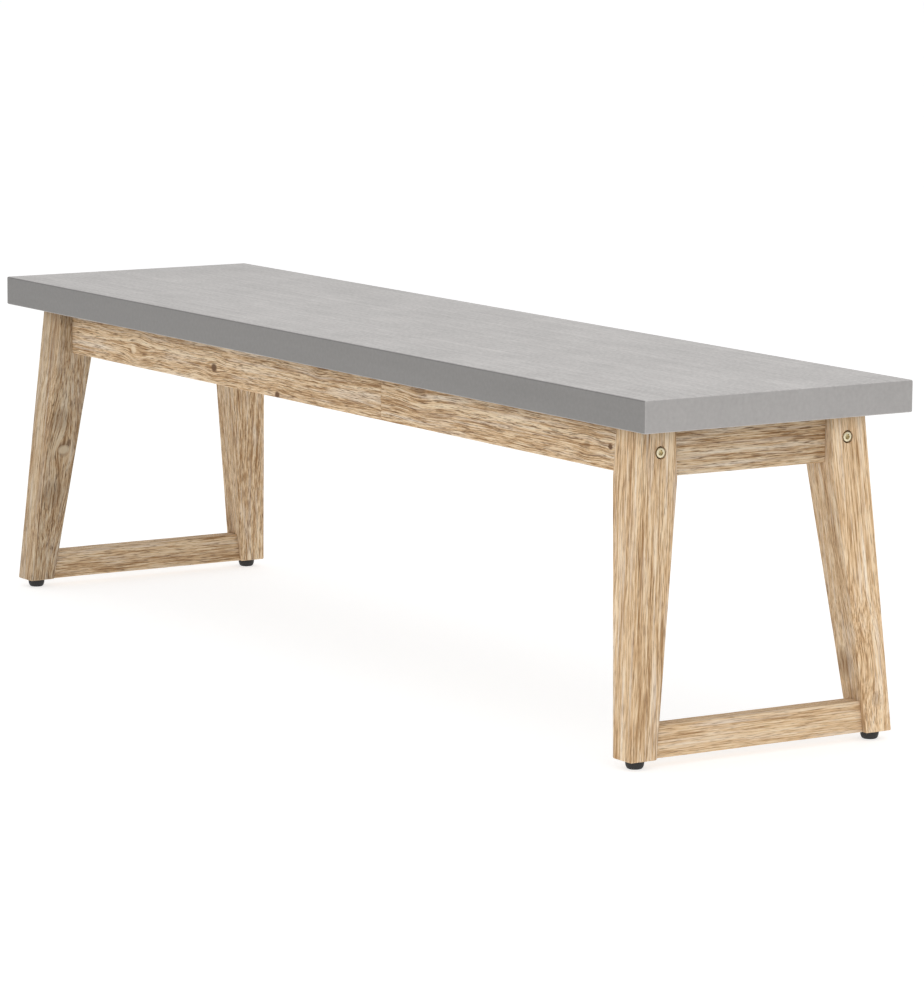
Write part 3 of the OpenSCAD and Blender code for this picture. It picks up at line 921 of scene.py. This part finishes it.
class BENCH_OT_rails(bpy.types.Operator):
    """Planes the aprons, the end rails and the cross rails"""

    bl_idname = "bench.rails"
    bl_label = "Aprons and rails"

    def execute(self, context):
        joint = sizes().joint_arris
        rails = {
            "front_apron": (ALONG_X, dict(seed=1.0, contrast=1.5, tone=1.0, seam=0.14)),
            "rear_apron": (ALONG_X, dict(seed=2.3, contrast=1.4, tone=1.0, seam=-0.31)),
            "left_end_rail": (ALONG_Y, dict(seed=3.1, contrast=1.4, tone=0.86)),
            "right_end_rail": (ALONG_Y, dict(seed=4.7, contrast=1.5, tone=0.86)),
            "left_cross_rail": (ALONG_Y, dict(seed=5.2, tone=0.92)),
            "right_cross_rail": (ALONG_Y, dict(seed=6.4, tone=0.92)),
        }
        for node, (axes, look) in rails.items():
            lo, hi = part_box(node)
            a, p, q = axes
            ends = (lo[a], hi[a])
            blank = bar(node, axes, ends, lambda _: (lo[p], hi[p], lo[q], hi[q]), (joint, joint))
            material = acacia("acacia_" + node, knots=KNOTS_AND_SHADE_MARKS.get(node, ()), **look)
            finish_timber(blank, node, axes, ends, material, bores_for(node), seed=look["seed"])
        return {"FINISHED"}


class BENCH_OT_legs(bpy.types.Operator):
    """Saws, tapers and brushes the four splayed legs"""

    bl_idname = "bench.legs"
    bl_label = "Legs"

    def execute(self, context):
        # the tones are the timber's own, except that the front left leg's low tone is painted shade from the
        # slab and the near leg
        looks = {
            "front_left_leg": dict(seed=7.7, tone=0.75, contrast=1.4),
            "front_right_leg": dict(seed=8.3, tone=1.04, contrast=1.15),
            "rear_left_leg": dict(seed=9.9, tone=1.1, contrast=1.45),
            "rear_right_leg": dict(seed=10.6, tone=1.12, contrast=1.0),
        }
        for node, look in looks.items():
            self.leg(node, look)
        return {"FINISHED"}

    def leg(self, node, look):
        points = corners_of(node)
        lo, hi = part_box(node)
        tolerance = 0.01 * MM
        top = points[abs(points[:, 2] - hi.z) < tolerance]
        toe = points[abs(points[:, 2] - lo.z) < tolerance]
        inner_top, outer_top, inner_toe, outer_toe = [], [], [], []
        for k in (0, 1):
            order = (np.min, np.max) if lo[k] > 0 else (np.max, np.min)
            inner_top.append(order[0](top[:, k]))
            outer_top.append(order[1](top[:, k]))
            inner_toe.append(order[0](toe[:, k]))
            outer_toe.append(order[1](toe[:, k]))
        upright = points[abs(points[:, 0] - inner_top[0]) < tolerance]
        shoulder = float(upright[:, 2].min())

        def edges(z):
            sides = []
            for k in (0, 1):
                down = (hi.z - z) / (hi.z - lo.z)
                below = max(0.0, (shoulder - z) / (shoulder - lo.z))
                outer = outer_top[k] + (outer_toe[k] - outer_top[k]) * down
                inner = inner_top[k] + (inner_toe[k] - inner_top[k]) * below
                sides += sorted((inner, outer))
            return sides

        def lean(z):
            """How far the outer faces have leant, both ways, at heights z."""
            down = (hi.z - z)[:, None] / (hi.z - lo.z)
            return np.array(outer_top) + (np.array(outer_toe) - np.array(outer_top)) * down

        ends = (lo.z, hi.z)
        rounds = (sizes().toe_arris, sizes().joint_arris)
        blank = bar(node, ALONG_Z, ends, edges, rounds, kinks=(shoulder,))
        material = acacia("acacia_" + node, knots=KNOTS_AND_SHADE_MARKS.get(node, ()), **look)
        finish_timber(blank, node, ALONG_Z, ends, material, bores_for(node), lean, look["seed"])


class BENCH_OT_stretchers(bpy.types.Operator):
    """Cuts the stretchers to the lean of the legs"""

    bl_idname = "bench.stretchers"
    bl_label = "Stretchers"

    def execute(self, context):
        joint = sizes().joint_arris
        looks = {
            "left_stretcher": dict(seed=11.5, tone=0.97, contrast=1.35),
            "right_stretcher": dict(seed=12.8, tone=1.0, contrast=0.95),
        }
        for node, look in looks.items():
            points = corners_of(node)
            lo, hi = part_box(node)
            high_end = points[abs(points[:, 2] - hi.z) < 0.01 * MM][:, 1].max()
            low_end = hi.y

            def place(found):
                share = (found[:, 2] - lo.z) / (hi.z - lo.z)
                found[:, 1] *= 1 + (high_end / low_end - 1) * share
                return found

            ends = (lo.y, hi.y)
            blank = bar(node, ALONG_Y, ends, lambda _: (lo.x, hi.x, lo.z, hi.z), (joint, joint), place)
            material = acacia("acacia_" + node, knots=KNOTS_AND_SHADE_MARKS.get(node, ()), **look)
            finish_timber(blank, node, ALONG_Y, ends, material, bores_for(node), seed=look["seed"])
        return {"FINISHED"}


class BENCH_OT_bolts(bpy.types.Operator):
    """Fits the leg bolts with their washers"""

    bl_idname = "bench.bolts"
    bl_label = "Leg bolts"

    def execute(self, context):
        steel = plated_steel("yellow_zinc_plate", "#e4d9ba", 0.28)
        low, high = solids_of("leg_bolts")[0]
        length = (high - low).x
        head, shank, pitch = 8 * MM, 4 * MM, 1.25 * MM
        hex_half, hex_deep, bevel = 3 * MM, 4 * MM, 0.6 * MM
        r = sizes().bolt_head / 2
        profile = [(0, hex_deep), (hex_half, hex_deep), (hex_half, 0.5 * MM), (hex_half + 0.5 * MM, 0),
                   (r - bevel, 0), (r - 0.2 * MM, 0.2 * MM), (r, bevel), (r, head), (shank, head)]
        hexes = (1, 2)
        thread = (length - 28 * MM, length - 1.2 * MM, pitch, 0.55 * MM)
        profile += [(shank, z) for z in np.arange(thread[0] - pitch, thread[1], pitch / 6)]
        profile += [(shank - 0.8 * MM, length), (0, length)]
        bolts = repeated("leg_bolt_set", revolve("bolt", profile, 48, hexes=hexes, thread=thread),
                         driven_in("leg_bolts"), steel, seed=4)
        smooth(bolts, 35)
        hand_over(bolts, "yellow_zinc", "leg_bolts")
        low, high = solids_of("leg_bolt_washers")[0]
        washer = washer_mesh((high - low).y / 2, 4.2 * MM, (high - low).x)
        # painted shade: the washer is darkened for the shade inside the counterbore
        shaded_zinc = plated_steel("painted_shade_zinc_washer", "#867c63", 0.5)
        washers = repeated("leg_bolt_washer_set", washer, driven_in("leg_bolt_washers"), shaded_zinc, seed=5)
        smooth(washers, 35)
        hand_over(washers, "yellow_zinc", "leg_bolt_washers")
        return {"FINISHED"}


def driven_in(node):
    """The outer end of each solid of a CAD node, and the direction in which it goes into a leg."""
    places = []
    for low, high in solids_of(node):
        centre, side = (low + high) / 2, math.copysign(1, low.x)
        outer = high.x if side > 0 else low.x
        places.append((Vector((outer, centre.y, centre.z)), Vector((-side, 0, 0))))
    return places


def washer_mesh(outer, inner, thick):
    """A punched washer with eased edges, from z = 0 up."""
    ease = 0.25 * MM
    profile = [(inner, ease), (inner + ease, 0), (outer - ease, 0), (outer, ease),
               (outer, thick - ease), (outer - ease, thick), (inner + ease, thick), (inner, thick - ease)]
    return revolve("washer", profile, 48, closed=True)


class BENCH_OT_feet(bpy.types.Operator):
    """Moulds the four rubber feet"""

    bl_idname = "bench.feet"
    bl_label = "Feet"

    def execute(self, context):
        rubber = moulded_rubber()
        for node in ("front_left_foot", "front_right_foot", "rear_left_foot", "rear_right_foot"):
            lo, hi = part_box(node)
            centre = (lo + hi) / 2
            r, floor, tall = (hi.x - lo.x) / 2, 7.5 * MM, hi.z - lo.z
            rim, lip, recess, hole, deep = 2.5 * MM, 0.4 * MM, 4.7 * MM, 2.2 * MM, 5.8 * MM
            drop = tall - rim
            profile = [(hole, tall), (r - lip, tall), (r, tall - lip), (r, drop + lip), (r - lip, drop)]
            for k in range(1, 9):
                turn = math.pi / 2 * k / 9
                profile.append((floor + (r - lip - floor) * math.cos(turn), drop * (1 - math.sin(turn))))
            profile += [(floor - lip, 0), (recess + lip, 0), (recess, lip), (recess, deep), (hole, deep)]
            foot = new_object(node + "_moulding", revolve(node, profile, 64, closed=True))
            foot.data.transform(Matrix.Translation((centre.x, centre.y, lo.z)))
            foot.data.materials.append(rubber)
            smooth(foot)
            hand_over(foot, "foot_rubber", node)
        return {"FINISHED"}


class BENCH_OT_fixings(bpy.types.Operator):
    """Plates and turns the fixings whose shape the frame already has"""

    bl_idname = "bench.fixings"
    bl_label = "Hidden fixings"

    def execute(self, context):
        zinc = plated_steel("bright_zinc_plate", "#cfd0cf", 0.3)
        brass = plated_steel("yellow_zinc_insert", "#d9c88f", 0.35)
        beech = turned_beech()
        finishes = {
            "barrel_nuts": zinc, "slab_screws": zinc, "slab_screw_washers": zinc, "foot_washers": zinc,
            "foot_screws": zinc, "slab_inserts": brass, "apron_dowels": beech, "end_rail_dowels": beech,
            "cross_rail_dowels": beech, "stretcher_dowels": beech,
        }
        for node, material in finishes.items():
            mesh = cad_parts[node].data
            mesh.materials.clear()
            mesh.materials.append(material)
        return {"FINISHED"}


# the softboxes face the middle of the bench: name, place, size and power
MIDDLE = Vector((0, 0, 0.25))
SOFTBOXES = [
    ("overhead_softbox", (0.3, -0.2, 3.6), 5.0, 44),
    ("front_softbox", (3.4, -3.6, 1.7), 2.4, 24),
]
# the camera stands off to the right in front, aims at TARGET and is rolled a little
AZIMUTH, ELEVATION, ROLL = math.radians(56.80), math.radians(8.63), math.radians(0.44)
TARGET, DISTANCE, LENS = Vector((0.0996, 0.0025, 0.225)), 6.3468, 172.63


class BENCH_OT_stage(bpy.types.Operator):
    """Sets the pale floor, the soft lights and the camera"""

    bl_idname = "bench.stage"
    bl_label = "Stage"

    def execute(self, context):
        scene = context.scene
        reach = 120
        floor = new_object("floor", mesh_of("floor", [
            (-reach, -reach, 0), (reach, -reach, 0), (reach, reach, 0), (-reach, reach, 0)], [(0, 1, 2, 3)]))
        # a matt sweep of pale paper, lit evenly from below as well, so that it stays near white
        material, tree, shader = new_material("pale_floor")
        feed(tree, shader, {
            "Base Color": (0.5, 0.5, 0.5, 1), "Roughness": 0.9,
            "Emission Color": (1, 1, 1, 1), "Emission Strength": 0.64})
        floor.data.materials.append(material)
        world = bpy.data.worlds.new("studio")
        scene.world = world
        world.use_nodes = True
        world.node_tree.nodes.clear()
        glow = add(world.node_tree, "ShaderNodeBackground", {"Color": (1, 1, 1, 1), "Strength": 0.7})
        add(world.node_tree, "ShaderNodeOutputWorld", {"Surface": glow})
        for name, place, size, power in SOFTBOXES:
            light = bpy.data.lights.new(name, "AREA")
            light.shape, light.size, light.energy = "SQUARE", size, power
            made = new_object(name, light)
            made.location = place
            aim = MIDDLE - Vector(place)
            made.rotation_mode = "QUATERNION"
            made.rotation_quaternion = aim.to_track_quat("-Z", "Y")
        camera = new_object("camera", bpy.data.cameras.new("camera"))
        back = Vector((math.sin(AZIMUTH) * math.cos(ELEVATION),
                       -math.cos(AZIMUTH) * math.cos(ELEVATION), math.sin(ELEVATION)))
        camera.location = TARGET + back * DISTANCE
        camera.rotation_mode = "QUATERNION"
        camera.rotation_quaternion = (-back).to_track_quat("-Z", "Y") @ Quaternion((0, 0, 1), ROLL)
        camera.data.lens = LENS
        camera.data.clip_end = 400
        scene.camera = camera
        scene.view_settings.view_transform = "Standard"
        return {"FINISHED"}


class BENCH_PT_panel(bpy.types.Panel):
    """Lists the bench's settings and the operators that build it"""

    bl_idname = "BENCH_PT_panel"
    bl_label = "Garden bench"
    bl_space_type = "VIEW_3D"
    bl_region_type = "UI"
    bl_category = "Bench"

    def draw(self, context):
        for group in (context.scene.bench_sizes, context.scene.bench_colours):
            for name in group.__annotations__:
                self.layout.prop(group, name)
        for operator in OPERATORS:
            self.layout.operator(operator.bl_idname)


OPERATORS = (BENCH_OT_stage, BENCH_OT_slab, BENCH_OT_rails, BENCH_OT_legs, BENCH_OT_stretchers,
             BENCH_OT_bolts, BENCH_OT_feet, BENCH_OT_fixings)
CLASSES = (BenchSizes, BenchColours, *OPERATORS, BENCH_PT_panel)


def register():
    for found in CLASSES:
        bpy.utils.register_class(found)
    bpy.types.Scene.bench_sizes = bpy.props.PointerProperty(type=BenchSizes)
    bpy.types.Scene.bench_colours = bpy.props.PointerProperty(type=BenchColours)


def unregister():
    del bpy.types.Scene.bench_colours
    del bpy.types.Scene.bench_sizes
    for found in reversed(CLASSES):
        bpy.utils.unregister_class(found)


def main():
    register()
    for operator in OPERATORS:
        family, action = operator.bl_idname.split(".")
        getattr(getattr(bpy.ops, family), action)()


if __name__ == "__main__":
    main()
